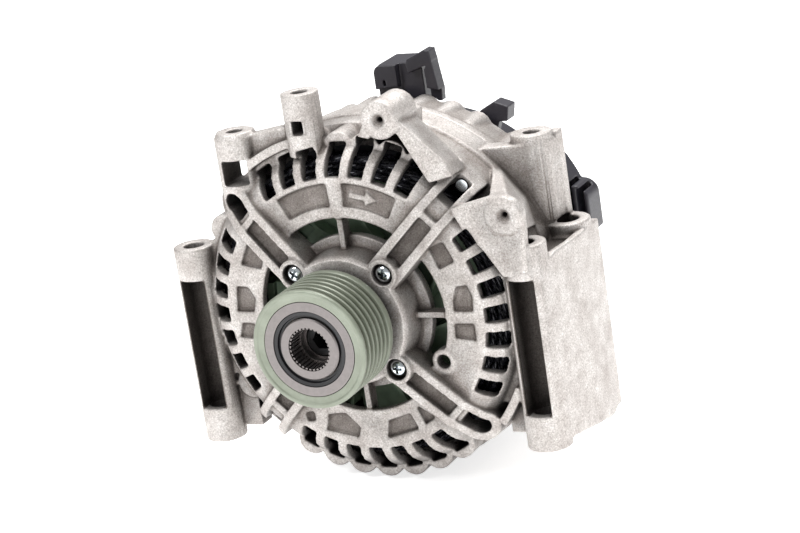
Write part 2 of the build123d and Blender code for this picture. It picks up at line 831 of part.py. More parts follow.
    # top-left bosses with their cross windows and the wall between them
    solids.append(rod_z(left_boss_r, 42, left_boss_top - 2, left_boss_x, left_boss_y))
    cap = Pos(left_boss_x, left_boss_y, left_boss_top - 2) * extrude(
        RegularPolygon(left_boss_r + 0.4, 8), amount=2, taper=25)
    solids.append(cap)
    solids.append(rod_z(top_boss_r, 66, top_boss_top, top_boss_x, top_boss_y))
    web = [(-41, 50), (-41, 74.6), (-20, 78.4), (-16, 72), (-20, 66)]
    solids.append(plate_of(web, 8.0, 15.0))

    body = shell + solids

    # everything that is opened up afterwards
    cuts = []
    for a in vent_angles():
        cuts.append(wedge(vent_in_r, vent_reach(a), a, vent_span, -3, vent_back))
    cuts.append(rod_y(stator_r + slip_gap, stator_front, rear_lug_y + 12))
    keep_out = rod_y(hub_shelf_r + 2, 0, 30)
    cuts.append(spun([
        (hub_shelf_r + 2, face_t + 4.8),
        (cavity_r - 5.4, face_t + 4.8),
        (cavity_r - 1.7, vent_back - 5),
        (cavity_r, vent_back - 0.7),
        (hub_shelf_r + 2, vent_back - 0.7),
    ]))
    cuts.append(rod_y(ledge_r, vent_back - 1.2, stator_front + 1) - keep_out)
    cuts.append(rod_y(front_bearing_out_r, front_bearing_y, 30))
    cuts.append(rod_y(hub_mouth_r, hub_face_y - 2, 10))
    cuts.append(rod_y(hub_shelf_r + 6, front_bearing_y + front_bearing_w, 30))
    for s in (-1, 1):
        x = s * tube_x
        cuts.append(rod_z(tube_hole_r, window_top - 1, tube_top + 1, x, tube_y))
        cuts.append(rod_z(tube_hole_low_r, tube_bottom - 1, window_bottom + 1, x, tube_y))
        cuts.append(rod_z(tube_relief_r, window_bottom, window_top, x, tube_y))
        window = block(x - window_half, x + window_half, tube_y - 12, tube_y, window_bottom, window_top)
        cuts.append(window)
    cuts.append(rod_z(rear_lug_hole_r, rear_lug_bottom - 1, rear_lug_top + 1, rear_lug_x, rear_lug_y))
    cuts.append(rod_z(tall_hole_r, tall_boss_top - tall_hole_depth, tall_boss_top + 1, tall_boss_x, tall_boss_y))
    cuts.append(rod_z(thread_r, 60, left_boss_top + 1, left_boss_x, left_boss_y))
    cuts.append(block(-51.0, -40.2, left_boss_y - 12, left_boss_y + 12, 55.0, 65.5))
    cuts.append(rod_z(thread_r, 81, top_boss_top + 1, top_boss_x, top_boss_y))
    cuts.append(block(-18.4, -9.6, top_boss_y - 12, top_boss_y + 3, 75.4, 81.4))
    cuts.append(block(-14.4, -9.6, top_boss_y, top_boss_y + 12, 78.0, 81.4))
    for x, z, y in ((upper_pad_x, upper_pad_z, 0.0), (side_pad_x, side_pad_z, -0.5)):
        dimple = spun([(0, -0.2), (pad_dimple_r, -0.2), (pad_pilot_r, pad_dimple_depth),
                       (pad_pilot_r, pad_pilot_depth), (0, pad_pilot_depth)])
        cuts.append(Pos(x, y, z) * dimple)
    for sx in (-1, 1):
        for sz in (-1, 1):
            x = sx * screw_xz
            z = sz * screw_xz
            cuts.append(rod_y(screw_recess_r, hub_face_y - 1, hub_face_y + 3.4, x, z))
            cuts.append(rod_y(screw_shank_r + 0.3, hub_face_y, 12, x, z))
    hole = rod_y(bolt_r + 0.6, 10, seam_y + 1, bolt_circle_r, 0)
    cuts = cuts + around(hole, 4, 45)
    channel = arm_width / 2 - arm_rail
    open_end = block(bolt_circle_r - 5.0, barrel_r + 4, -5, 14.5, -channel, channel)
    cuts = cuts + around(open_end, 2, 45)
    recess = block(arm_loop_r - 7.4, arm_loop_r + 0.4, -5, 10.5, -channel, channel)
    cuts = cuts + around(recess, 2, 135)
    closed_end = rod_y(channel + 0.3, -5, 14.5, arm_loop_r, 0)
    cuts = cuts + around(closed_end, 2, 135)
    cuts.append(rod_y(small_lug_hole_r, -3, 12, lug_x, lug_z))

    # shallow cast-in pockets of the annular face
    for mid, span in ((106.0, 25), (73.6, 25)):
        cuts.append(wedge(46.3, 56.0, mid, span, -1, pocket_depth))
    cuts = cuts + [plate_of(points, -1, pocket_depth) for points in pockets]
    mark_x, mark_z = ejector_mark
    cuts.append(tube_along_y(ejector_r - 0.5, ejector_r, -1, 0.5, mark_x, mark_z))
    arrow = [(-6, -1.2), (1.5, -1.2), (1.5, -2.8), (6, 0), (1.5, 2.8), (1.5, 1.2), (-6, 1.2)]
    arrow = [(x, z + 51.0) for x, z in arrow]
    body = body - cuts
    mark = plate_of(arrow, pocket_depth - 0.7, pocket_depth + 1.0).rotate(shaft_axis, 14)
    body = body + mark
    keep("front_bracket", body)


# ------------------------------------------------------------- rear bracket
def build_rear_bracket():
    y1 = rear_wall_y + rear_wall_t
    shell = spun([
        (stator_r + slip_gap, seam_y + 0.05),
        (band_r - 0.4, seam_y + 0.05),
        (band_r - 0.4, seam_y + 5.0),
        (rear_barrel_r, seam_y + 6.5),
        (rear_barrel_r - 2.2, rear_lobe_back),
        (69.0, y1 - 1.6),
        (64.0, y1),
        (rear_window_in - 4, y1),
        (rear_window_in - 4, rear_wall_y),
        (rear_cavity_r - 3, rear_wall_y),
        (rear_cavity_r, rear_wall_y - 3),
        (rear_cavity_r, stator_back + 0.02),
        (stator_r + slip_gap, stator_back + 0.02),
    ])
    solids = []
    for a in vent_angles():
        x, z = polar(lobe_centre_r, a)
        solids.append(rod_y(lobe_r - 0.3, rear_lobe_front, rear_lobe_back, x, z))
    pad = rod_y(6.6, seam_y + 0.05, y1, bolt_circle_r - 1.4, 0)
    solids = solids + around(pad, 4, 45)
    solids.append(rod_y(rear_hub_r, rear_bearing_y - 1.0, rear_hub_back))
    spoke = block(rear_hub_r - 2, rear_window_out + 2, rear_wall_y - 1.5, y1, -3.2, 3.2)
    solids = solids + around(spoke, 8, 22.5)
    body = shell + solids
    cuts = []
    for a in vent_angles():
        cuts.append(wedge(vent_in_r, vent_out_r - 0.8, a, vent_span, rear_lobe_front + 1.5, y1 + 2))
    window = wedge(rear_window_in, rear_window_out, 0, 30, rear_wall_y - 3, y1 + 3)
    cuts = cuts + around(window, 8)
    cuts.append(rod_y(stator_r + slip_gap, seam_y - 1, stator_back + 0.02))
    cuts.append(rod_y(rear_cavity_r, stator_back, rear_wall_y - 5) - rod_y(rear_hub_r + 2, 50, 90))
    cuts.append(rod_y(rear_bearing_out_r + rear_sleeve_t + slip_gap, 40, rear_bearing_y + rear_bearing_w))
    cuts.append(rod_y(rear_bearing_out_r - 3.0, 40, 90))
    hole = rod_y(bolt_r + 0.3, seam_y - 1, y1 + 2, bolt_circle_r, 0)
    cuts = cuts + around(hole, 4, 45)
    kept_wall = rod_y(stator_r - part_gap, seam_y - 4, rear_wall_y)
    for piece in right_column(part_gap):
        cuts.append(piece - kept_wall)
    cuts.append(block(56, 80, seam_y - 1, stator_back - 0.8, 17, 50))
    for a in cover_screw_angles:
        x, z = polar(cover_screw_ring, a)
        cuts.append(rod_y(cover_screw_r + slip_gap, y1 - cover_screw_grip - 0.4, y1 + 1, x, z))
    bracket = body - cuts
    keep("rear_bracket", bracket.solids().sort_by(SortBy.VOLUME)[-1])


# ---------------------------------------------------------- bracket hardware
def cross_slot(x, z, y, size, depth):
    bar_a = block(x - size, x + size, y - 0.5, y + depth, z - 0.45, z + 0.45)
    bar_b = block(x - 0.45, x + 0.45, y - 0.5, y + depth, z - size, z + size)
    return [bar_a, bar_b]


def build_fixings():
    y_seat = hub_face_y + 3.4
    screws = []
    for sx in (-1, 1):
        for sz in (-1, 1):
            x = sx * screw_xz
            z = sz * screw_xz
            head = rod_y(screw_head_r, y_seat - 2.6, y_seat, x, z)
            head = chamfer(head.edges().filter_by(GeomType.CIRCLE).sort_by(Axis.Y)[0], 0.6)
            shank = rod_y(screw_shank_r, y_seat - 0.2, front_bearing_y + front_bearing_w + 2.4, x, z)
            screws.append((head + shank) - cross_slot(x, z, y_seat - 2.6, 2.0, 1.2))
    keep("retainer_screws", group(screws))

    y0 = front_bearing_y + front_bearing_w
    plate = tube_along_y(front_bearing_out_r - 4.4, 25.6, y0, y0 + 2.5)
    ear = rod_y(4.8, y0, y0 + 2.5)
    ears = [Pos(sx * screw_xz, 0, sz * screw_xz) * ear for sx in (-1, 1) for sz in (-1, 1)]
    web = block(-3.6, 3.6, y0, y0 + 2.5, 22, 30)
    webs = around(web, 4, 45)
    holes = [rod_y(screw_shank_r + slip_gap, y0 - 1, y0 + 4, sx * screw_xz, sz * screw_xz)
             for sx in (-1, 1) for sz in (-1, 1)]
    keep("bearing_retainer", plate + ears + webs - holes)

    y_head = rear_wall_y + rear_wall_t
    bolt = rod_y(bolt_r, 15.2, y_head + 0.2, bolt_circle_r, 0)
    head = Pos(bolt_circle_r, y_head + 3.6, 0) * Rot(90, 0, 0) * extrude(RegularPolygon(4.4, 6), amount=3.6)
    flange = rod_y(4.9, y_head, y_head + 0.9, bolt_circle_r, 0)
    keep("through_bolts", group(around(bolt + [head, flange], 4, 45)))


# --------------------------------------------------- rectifier and regulator
def horseshoe(r_in, r_out, y0, y1):
    span = 360 - plate_gap_deg
    return wedge(r_in, r_out, 270, span, y0, y1)


def diode_angles(first):
    return [first + i * 44.0 for i in range(6)]


def build_rectifier():
    neg = horseshoe(plate_in_r, plate_out_r, neg_plate_y, neg_plate_y + fin_plate_t)
    pos = horseshoe(plate_in_r + 3, plate_out_r - 4, pos_plate_y, pos_plate_y + fin_plate_t)
    neg_holes = []
    neg_cans = []
    pos_holes = []
    pos_cans = []
    for a in diode_angles(160.0):
        x, z = polar(diode_ring_r, a)
        neg_holes.append(rod_y(diode_r, neg_plate_y - 1, neg_plate_y + 4, x, z))
        can = rod_y(diode_r - slip_gap, neg_plate_y - 1.2, neg_plate_y + fin_plate_t + 1.2, x, z)
        lead = rod_y(0.7, neg_plate_y + fin_plate_t, frame_y - slip_gap, x, z)
        neg_cans.append(can + lead)
    for a in diode_angles(160.0):
        x, z = polar(diode_ring_r - 6.0, a + 16)
        pos_holes.append(rod_y(diode_r - 0.6, pos_plate_y - 1, pos_plate_y + 4, x, z))
        can = rod_y(diode_r - 0.6 - slip_gap, pos_plate_y - 0.8, pos_plate_y + fin_plate_t + 1.0, x, z)
        lead = rod_y(0.7, frame_y + frame_t + slip_gap, pos_plate_y, x, z)
        pos_cans.append(can + lead)
    stud_hole = rod_y(stud_r + slip_gap, 70, 100, stud_x, stud_z)
    keep("rectifier_plate_negative", neg - neg_holes)
    keep("rectifier_plate_positive", pos - pos_holes - stud_hole)
    keep("diodes_negative", group(neg_cans))
    keep("diodes_positive", group(pos_cans))
    frame = horseshoe(plate_in_r + 1.5, plate_out_r - 1, frame_y, frame_y + frame_t)
    posts = []
    for a in (182.0, 226.0, 270.0, 314.0, 358.0):
        x, z = polar(plate_in_r + 5.4, a)
        posts.append(rod_y(2.6, neg_plate_y + fin_plate_t, pos_plate_y, x, z))
    rests = []
    for a in (182.0, 226.0, 270.0, 314.0, 358.0):
        x, z = polar(plate_in_r + 5.4, a)
        rests.append(rod_y(3.0, rear_wall_y + rear_wall_t, neg_plate_y, x, z))
    keep("terminal_frame", frame + posts - [rod_y(stud_r + slip_gap, 70, 100, stud_x, stud_z)])
    keep("rectifier_spacers", group(rests))


def build_regulator():
    half = brush_box_w / 2
    box = block(-half, half, front_ring_y - 1.6, regulator_y - slip_gap, ring_r + 2.0, brush_box_top)
    channels = []
    for y in (front_ring_y, rear_ring_y):
        mid = y + ring_w / 2
        channels.append(block(-brush_w / 2 - 0.15, brush_w / 2 + 0.15, mid - brush_w / 2 - 0.15,
                              mid + brush_w / 2 + 0.15, ring_r, brush_box_top - 2.0))
    keep("brush_holder", box - channels)
    for name, y in (("front", front_ring_y), ("rear", rear_ring_y)):
        mid = y + ring_w / 2
        brush = block(-brush_w / 2, brush_w / 2, mid - brush_w / 2, mid + brush_w / 2,
                      ring_r - 0.6, ring_r + brush_len)
        brush = brush - rod_y(ring_r + run_gap, mid - 4, mid + 4)
        keep("brush_" + name, brush)
        top = brush_box_top - 2.0 - slip_gap
        bottom = ring_r + brush_len + slip_gap
        turns = 5
        helix = Helix(pitch=(top - bottom - 0.8) / turns, height=top - bottom - 0.8, radius=1.6)
        wire = Plane(origin=helix @ 0, z_dir=helix % 0) * Circle(0.36)
        coil = sweep(wire, path=helix, is_frenet=True)
        keep("brush_spring_" + name, Pos(0, mid, bottom + 0.4) * coil)
    plate = block(-22, 22, regulator_y, regulator_y + regulator_t, 10.5, 53)
    legs = [block(-22, -16, rear_wall_y + rear_wall_t, regulator_y + 0.5, 30, 36)]
    legs.append(block(16, 22, rear_wall_y + rear_wall_t, regulator_y + 0.5, 30, 36))
    screw_holes = [rod_y(2.0, 88, 110, s * 19, 33) for s in (-1, 1)]
    keep("regulator_heatsink", plate + legs - screw_holes)
    case = block(-15, 15, regulator_case_y, regulator_y - slip_gap, brush_box_top + slip_gap, 53)
    keep("regulator_module", case)
    screws = []
    for s in (-1, 1):
        head = rod_y(3.6, regulator_y + regulator_t, regulator_y + regulator_t + 1.6, s * 19, 33)
        shank = rod_y(1.95, 88.2, regulator_y + regulator_t + 0.2, s * 19, 33)
        slot = cross_slot(s * 19, 33, regulator_y + regulator_t + 0.9, 2.0, 2.0)
        screws.append((head + shank) - slot)
    keep("regulator_screws", group(screws))


# -------------------------------------------------------------- rear cover
def build_cover():
    inner = cover_r - cover_wall
    cup = rod_y(cover_r, cover_front, cover_back)
    cup = fillet(cup.edges().filter_by(GeomType.CIRCLE).sort_by(Axis.Y)[-1], 4.0)
    cup = cup - rod_y(inner, cover_front - 1, cover_back - cover_wall)
    vents = []
    for i in range(9):
        a = 215 + i * 17
        vents.append(wedge(26, 47, a, 9.0, cover_back - 6, cover_back + 1))
    side_vent = block(cover_r - 6, cover_r + 4, cover_front + 8, cover_back - 8, -3.0, 3.0)
    vents = vents + around(side_vent, 10, 190, 18.0)
    stud_hole = rod_y(stud_r + 4.2, cover_back - 8, cover_back + 2, stud_x, stud_z)
    plug_room = block(plug_x - plug_w / 2 + 3.4, plug_x + plug_w / 2 - 3.4, plug_y - 5.6,
                      plug_y + 5.6, 50, 70)
    bump = wedge(cover_r - 1, fin_out_r, 29.5, 12, side_box_front + 1.0, side_box_back)
    box = block(cover_r - 6, side_box_x, side_box_front, side_box_back, side_box_bottom, side_box_top)
    box = fillet(box.edges().filter_by(Axis.Y).sort_by(Axis.X)[-2:].sort_by(Axis.Z)[-1], 6.5)
    box = box - rod_y(cover_r - 1, side_box_front - 1, side_box_back + 1)
    gills = []
    for x0, x1, top in ((62.6, 66.4, 29.0), (68.6, 71.6, 27.0)):
        gills.append(block(x0, x1, side_box_front - 1, side_box_back - 3, side_box_bottom + 3, top))
    tabs = []
    for a in cover_screw_angles:
        x, z = polar(cover_screw_ring - 0.6, a)
        tabs.append(rod_y(5.0, rear_wall_y + rear_wall_t + 0.02, cover_front + 3.0, x, z))
    body = cup + [bump, box] + tabs
    bolts = []
    for a in cover_screw_angles:
        x, z = polar(cover_screw_ring, a)
        bolts.append(rod_y(cover_screw_r + 0.1, cover_front - 4, cover_front + 3.1, x, z))
        bolts.append(rod_y(3.8, cover_front + 3.0, cover_front + 9, x, z))
    keep("rear_cover", body - vents - gills - [stud_hole, plug_room] - bolts)
    screws = []
    for a in cover_screw_angles:
        x, z = polar(cover_screw_ring, a)
        head = rod_y(3.7, cover_front + 3.0, cover_front + 5.2, x, z)
        shank = rod_y(cover_screw_r, rear_wall_y + rear_wall_t - cover_screw_grip, cover_front + 3.2, x, z)
        screws.append((head + shank) - cross_slot(x, z, cover_front + 4.4, 2.0, 2.0))
    keep("cover_screws", group(screws))


def build_terminals():
    half_w = plug_w / 2
    half_d = plug_d / 2
    front = plug_y - half_d
    top = plug_z + plug_h
    shell = block(plug_x - half_w, plug_x + half_w, front, plug_y + half_d, plug_z, top)
    shell = fillet(shell.edges().filter_by(Axis.Y), 2.4)
    room = block(plug_x - half_w + plug_wall, plug_x + half_w - plug_wall, front + 5.0,
                 plug_y + half_d + 1, plug_z + plug_wall, top - plug_wall)
    neck = block(plug_x - half_w + 3.8, plug_x + half_w - 3.8, plug_y - 5.2, plug_y + 5.2, brush_box_top + slip_gap,
                 plug_z + 1)
    nose = block(plug_x - half_w, plug_x, front - plug_nose, front + 1, plug_z + 1, top)
    nose = fillet(nose.edges().filter_by(Axis.Y).sort_by(Axis.Z)[-2:].sort_by(Axis.X)[0], 3.4)
    slit = block(plug_x - 6.6, plug_x - 5.4, front - plug_nose - 1, front - plug_nose + 2, plug_z + 10, plug_z + 12.6)
    hood = plate_of([(4.0, 86.1), (4.8, 88.0), (13.2, 91.9), (15.6, 91.5), (16.3, 86.9), (13.0, 85.2),
                     (6.5, 82.9), (4.7, 82.1)], front - plug_nose, front + 3)
    flange = plate_of([(12.2, 83.4), (15.0, 87.0), (16.2, 86.8), (17.8, 74.4), (17.4, 69.2), (15.8, 69.1),
                       (12.6, 71.2)], front - plug_nose, front + 3)
    casting = rod_y(band_r + run_gap, 60, rear_wall_y + rear_wall_t + slip_gap)
    keep("plug_socket", (shell + [neck, nose, hood, flange]) - [room, slit, casting])
    pins = []
    for dx in (-6.0, 0.0, 6.0):
        x = plug_x + dx
        z = plug_z + plug_h / 2
        pins.append(block(x - 1.2, x + 1.2, front + 5.0 + 0.02, plug_y + half_d - 4, z - 0.4, z + 0.4))
    keep("plug_pins", group(pins))

    stud = rod_y(stud_r, frame_y, stud_back - stud_end, stud_x, stud_z)
    stud = stud + rod_y(stud_end_r, stud_back - stud_end - 0.5, stud_back, stud_x, stud_z)
    stud = chamfer(stud.edges().filter_by(GeomType.CIRCLE).sort_by(Axis.Y)[-1], 0.8)
    keep("b_plus_stud", stud)
    sleeve = tube_along_y(stud_r + slip_gap, stud_r + 3.9, pos_plate_y + fin_plate_t, cover_back + 2.0,
                          stud_x, stud_z)
    keep("b_plus_insulator", sleeve)
    nut = Pos(stud_x, cover_back + 8.6, stud_z) * Rot(90, 0, 0) * extrude(RegularPolygon(7.4, 6), amount=6.6)
    nut = nut - rod_y(stud_r + slip_gap, cover_back, cover_back + 12, stud_x, stud_z)
    keep("b_plus_nut", nut)

    clip = plate_of([(32.5, 63.4), (39.6, 67.1), (45.8, 64.9), (44.6, 58.6), (34.8, 58.4)],
                    cover_front + 0.6, cover_front + 8.6)
    foot = plate_of([(31, 50.2), (36.5, 46.6), (41, 59), (37, 60)], cover_front + 0.6, cover_front + 5.0)
    limit = rod_y(cover_r + slip_gap, cover_front - 5, cover_back)
    keep("harness_clip", (clip + foot) - limit)


# ------------------------------------------------------------------- export
def export_all():
    os.makedirs("parts", exist_ok=True)
    for name, shape in nodes.items():
        moved = Pos(0, -belt_line, 0) * shape
        export_step(moved, "parts/" + name + ".step")


build_pulley()
build_hub()
build_clutch_rollers()
build_shaft()
build_rotor()
build_fans()
build_slip_rings()
build_bearings()
build_stator()
build_front_bracket()
build_rear_bracket()
build_fixings()
build_rectifier()
build_regulator()
build_cover()
build_terminals()
export_all()
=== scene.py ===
import json
import math

import bmesh
import bpy
import numpy as np
from mathutils import Matrix, Vector

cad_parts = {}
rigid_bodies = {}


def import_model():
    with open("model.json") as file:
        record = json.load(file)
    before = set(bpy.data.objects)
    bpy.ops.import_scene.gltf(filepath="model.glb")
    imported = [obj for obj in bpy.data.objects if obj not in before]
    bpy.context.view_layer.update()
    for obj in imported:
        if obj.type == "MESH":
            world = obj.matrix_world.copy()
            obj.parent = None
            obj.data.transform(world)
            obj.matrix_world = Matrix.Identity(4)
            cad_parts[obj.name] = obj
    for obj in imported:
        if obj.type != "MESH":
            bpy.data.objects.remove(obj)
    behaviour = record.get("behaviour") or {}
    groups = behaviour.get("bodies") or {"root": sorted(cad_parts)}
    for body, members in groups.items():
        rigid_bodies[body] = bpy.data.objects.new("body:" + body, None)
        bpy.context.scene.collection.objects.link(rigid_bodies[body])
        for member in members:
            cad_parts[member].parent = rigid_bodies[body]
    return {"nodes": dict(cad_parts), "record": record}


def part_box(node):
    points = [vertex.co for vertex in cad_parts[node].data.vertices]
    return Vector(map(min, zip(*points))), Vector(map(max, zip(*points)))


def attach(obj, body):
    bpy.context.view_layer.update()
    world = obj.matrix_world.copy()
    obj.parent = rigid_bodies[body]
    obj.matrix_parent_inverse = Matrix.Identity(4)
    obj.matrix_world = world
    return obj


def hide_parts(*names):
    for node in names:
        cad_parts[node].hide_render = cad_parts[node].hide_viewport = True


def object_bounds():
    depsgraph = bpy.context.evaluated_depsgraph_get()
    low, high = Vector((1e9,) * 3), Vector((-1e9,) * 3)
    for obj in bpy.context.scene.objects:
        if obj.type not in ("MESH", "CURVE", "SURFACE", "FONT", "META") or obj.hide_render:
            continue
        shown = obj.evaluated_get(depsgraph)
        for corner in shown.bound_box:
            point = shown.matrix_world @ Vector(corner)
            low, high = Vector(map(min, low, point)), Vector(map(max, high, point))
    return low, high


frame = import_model()
cad_box = [list(corner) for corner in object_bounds()]
nodes = frame["nodes"]

MM = 0.001
FACE = 0.0282          # depth of the front bracket's flat face

# six belt grooves, in mm
GROOVES = 6
GROOVE_PITCH = 3.56
GROOVE_DEPTH = 2.9
FIRST_GROOVE = 3.1
RIM_BORE = 19.72

# cross-head screws round the hub, in mm
HEAD_R = 3.7
SHANK_R = 2.0
SHANK_END = 12.0
CROSS_LONG = 2.35
CROSS_WIDE = 0.62

# top boss with its narrow window, in mm
BOSS_X = -13.8
BOSS_Y = 10.0
CHEEK_R = 7.1
WINDOW_HALF = 2.4

# wires of the winding ends
TURNS = 72
WIRE_R = 0.00095


# ------------------------------------------------------------- node helpers
def new_material(name):
    mat = bpy.data.materials.new(name)
    mat.use_nodes = True
    tree = mat.node_tree
    shader = tree.nodes["Principled BSDF"]
    return mat, tree, shader


def add(tree, kind, **values):
    node = tree.nodes.new(kind)
    for key, value in values.items():
        setattr(node, key, value)
    return node


def object_coords(tree, stretch=None):
    coords = add(tree, "ShaderNodeTexCoord").outputs["Object"]
    if stretch is None:
        return coords
    mapping = add(tree, "ShaderNodeMapping")
    mapping.inputs["Scale"].default_value = stretch
    tree.links.new(coords, mapping.inputs["Vector"])
    return mapping.outputs["Vector"]


def noise(tree, coords, scale, detail=3.0, rough=0.55):
    node = add(tree, "ShaderNodeTexNoise")
    node.inputs["Scale"].default_value = scale
    node.inputs["Detail"].default_value = detail
    node.inputs["Roughness"].default_value = rough
    tree.links.new(coords, node.inputs["Vector"])
    return node.outputs["Fac"]


def ramp(tree, value, stops):
    node = add(tree, "ShaderNodeValToRGB")
    elements = node.color_ramp.elements
    while len(elements) < len(stops):
        elements.new(0.5)
    for element, (place, colour) in zip(elements, stops):
        element.position = place
        element.color = (*colour, 1.0)
    tree.links.new(value, node.inputs["Fac"])
    return node.outputs["Color"]


def mix_colour(tree, factor, a, b, blend="MIX"):
    node = add(tree, "ShaderNodeMix", data_type="RGBA", blend_type=blend)
    if hasattr(factor, "links"):
        tree.links.new(factor, node.inputs["Factor"])
    else:
        node.inputs["Factor"].default_value = factor
    for value, socket in ((a, node.inputs["A"]), (b, node.inputs["B"])):
        if hasattr(value, "links"):
            tree.links.new(value, socket)
        else:
            socket.default_value = (*value, 1.0)
    return node.outputs["Result"]


def bump(tree, height, strength, distance, under=None):
    node = add(tree, "ShaderNodeBump")
    node.inputs["Strength"].default_value = strength
    node.inputs["Distance"].default_value = distance
    tree.links.new(height, node.inputs["Height"])
    if under is not None:
        tree.links.new(under, node.inputs["Normal"])
    return node.outputs["Normal"]


def map_range(tree, value, low, high, out_low, out_high):
    node = add(tree, "ShaderNodeMapRange")
    node.inputs["From Min"].default_value = low
    node.inputs["From Max"].default_value = high
    node.inputs["To Min"].default_value = out_low
    node.inputs["To Max"].default_value = out_high
    tree.links.new(value, node.inputs["Value"])
    return node.outputs["Result"]


def relief(tree):
    return add(tree, "ShaderNodeAttribute", attribute_name="relief").outputs["Fac"]


def painted_crevice_shade(tree, tone, reach, darkest_shade, share):
    # painted shade: ambient occlusion darkens the colour in crevices and hollows, down to the darkest shade
    shade = add(tree, "ShaderNodeAmbientOcclusion", samples=8)
    shade.inputs["Distance"].default_value = reach
    painted_shade = ramp(tree, shade.outputs["AO"], [(0.15, darkest_shade), (0.80, (1.0, 1.0, 1.0))])
    return mix_colour(tree, share, tone, painted_shade, "MULTIPLY")


# ---------------------------------------------------------------- materials
def cast_aluminium():
    mat, tree, shader = new_material("cast_aluminium")
    coords = object_coords(tree)
    cloud = noise(tree, coords, 110.0, 6.0, 0.68)
    grain = noise(tree, coords, 1500.0, 4.0, 0.72)
    speck = noise(tree, coords, 3000.0, 2.0, 0.5)
    base = ramp(tree, cloud, [
        (0.32, (0.355, 0.325, 0.308)),
        (0.52, (0.455, 0.430, 0.412)),
        (0.72, (0.55, 0.53, 0.515)),
    ])
    # fine grain tone; its brightest specks, above white, are painted glints
    grain_and_painted_glints = ramp(tree, grain, [
        (0.30, (0.50, 0.47, 0.45)),
        (0.46, (0.90, 0.89, 0.88)),
        (0.58, (1.08, 1.08, 1.08)),
        (0.70, (1.45, 1.46, 1.48)),
    ])
    tone = mix_colour(tree, 0.95, base, grain_and_painted_glints, "MULTIPLY")
    # painted highlight brightens the convex edges, painted shade darkens the hollows
    painted_edge_light_and_hollow_shade = ramp(tree, relief(tree), [
        (0.20, (1.4, 1.4, 1.4)),
        (0.43, (1.0, 1.0, 1.0)),
        (0.58, (0.84, 0.81, 0.79)),
        (0.84, (0.30, 0.27, 0.25)),
    ])
    tone = mix_colour(tree, 0.9, tone, painted_edge_light_and_hollow_shade, "MULTIPLY")
    # painted shade: ambient occlusion darkens the deep pockets and channels almost to black
    tone = painted_crevice_shade(tree, tone, 0.020, (0.05, 0.045, 0.045), 0.95)
    tree.links.new(tone, shader.inputs["Base Color"])
    shader.inputs["Metallic"].default_value = 0.62
    tree.links.new(map_range(tree, grain, 0.3, 0.7, 0.60, 0.44), shader.inputs["Roughness"])
    fine = bump(tree, speck, 0.4, 0.00009)
    rough = bump(tree, grain, 0.7, 0.00030, fine)
    tree.links.new(rough, shader.inputs["Normal"])
    return mat


def plain_metal(name, colour, rough, metallic=1.0, scale=400.0, spread=0.12, bumpiness=0.1):
    mat, tree, shader = new_material(name)
    coords = object_coords(tree)
    patch = noise(tree, coords, scale, 4.0, 0.6)
    dark = tuple(c * (1.0 - spread) for c in colour)
    light = tuple(min(1.0, c * (1.0 + spread)) for c in colour)
    tone = ramp(tree, patch, [(0.3, dark), (0.7, light)])
    # painted shade: ambient occlusion darkens the small crevices
    tone = painted_crevice_shade(tree, tone, 0.003, (0.35, 0.34, 0.33), 0.6)
    tree.links.new(tone, shader.inputs["Base Color"])
    shader.inputs["Metallic"].default_value = metallic
    shine = map_range(tree, patch, 0.3, 0.7, rough * 0.8, min(1.0, rough * 1.25))
    tree.links.new(shine, shader.inputs["Roughness"])
    tree.links.new(bump(tree, patch, bumpiness, 0.00008), shader.inputs["Normal"])
    return mat


def green_coat():
    mat, tree, shader = new_material("green_pulley_coat")
    coords = object_coords(tree)
    cloud = noise(tree, coords, 90.0, 4.0, 0.6)
    scuff = noise(tree, object_coords(tree, (1.0, 14.0, 1.0)), 160.0, 4.0, 0.65)
    base = ramp(tree, cloud, [(0.3, (0.235, 0.262, 0.205)), (0.7, (0.305, 0.334, 0.270))])
    marks = ramp(tree, scuff, [(0.36, (0.86, 0.85, 0.82)), (0.62, (1.06, 1.06, 1.05))])
    tone = mix_colour(tree, 0.6, base, marks, "MULTIPLY")
    # painted shade: ambient occlusion darkens the belt grooves towards olive
    tone = painted_crevice_shade(tree, tone, 0.0042, (0.16, 0.14, 0.08), 1.0)
    tree.links.new(tone, shader.inputs["Base Color"])
    shader.inputs["Metallic"].default_value = 0.25
    shader.inputs["Coat Weight"].default_value = 0.25
    shader.inputs["Coat Roughness"].default_value = 0.3
    tree.links.new(map_range(tree, scuff, 0.3, 0.7, 0.34, 0.50), shader.inputs["Roughness"])
    tree.links.new(bump(tree, scuff, 0.12, 0.00006), shader.inputs["Normal"])
    return mat


def plastic(name, colour, rough=0.55, coat=0.0):
    mat, tree, shader = new_material(name)
    coords = object_coords(tree)
    grain = noise(tree, coords, 1500.0, 3.0, 0.6)
    patch = noise(tree, coords, 40.0, 3.0, 0.5)
    dark = tuple(c * 0.8 for c in colour)
    light = tuple(c * 1.25 for c in colour)
    tree.links.new(ramp(tree, patch, [(0.3, dark), (0.7, light)]), shader.inputs["Base Color"])
    shader.inputs["Coat Weight"].default_value = coat
    shader.inputs["Coat Roughness"].default_value = 0.2
    shine = map_range(tree, grain, 0.3, 0.7, rough * 0.85, min(1.0, rough * 1.2))
    tree.links.new(shine, shader.inputs["Roughness"])
    tree.links.new(bump(tree, grain, 0.25, 0.00008), shader.inputs["Normal"])
    return mat


